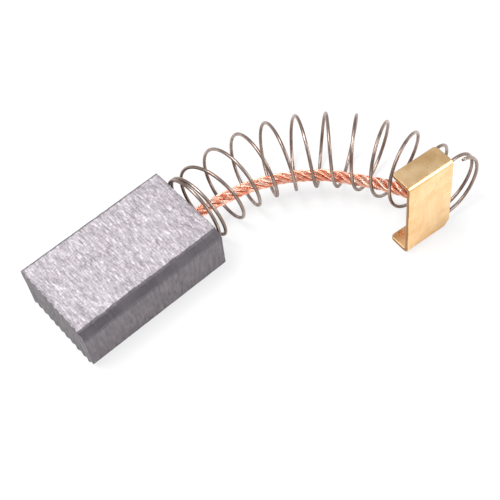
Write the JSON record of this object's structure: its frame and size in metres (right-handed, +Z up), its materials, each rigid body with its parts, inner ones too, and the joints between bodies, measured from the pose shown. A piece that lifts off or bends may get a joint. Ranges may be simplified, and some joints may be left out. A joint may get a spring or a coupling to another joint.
{
  "type": "carbon brush",
  "caption": "Motor brush: a chamfered carbon block on an open-coil spring, with a stranded copper lead inside the spring that ends in a folded brass clip.",
  "frame": {"origin": "middle of the carbon block's underside, which rests on the floor", "axes": "+X from the contact face to the lead's end of the block, +Y across the block away from its two chamfered edges, +Z up"},
  "size_m": [0.049, 0.0264, 0.0121],
  "materials": {
    "carbon": "ground, slightly shiny",
    "copper_powder": "pressed copper powder",
    "spring_steel": "drawn wire, semi-bright",
    "brass": "rolled sheet, satin",
    "fused_copper": "flattened and fused copper wires",
    "copper": "bare copper wire"
  },
  "bodies": {
    "root": {"carbon_block": "carbon", "tamping_plug": "copper_powder", "spring": "spring_steel", "terminal_clip": "brass", "lead_weld": "fused_copper", "strand_core": "copper", "strand_1": "copper", "strand_2": "copper", "strand_3": "copper", "strand_4": "copper", "strand_5": "copper", "strand_6": "copper"}
  },
  "joints": []
}
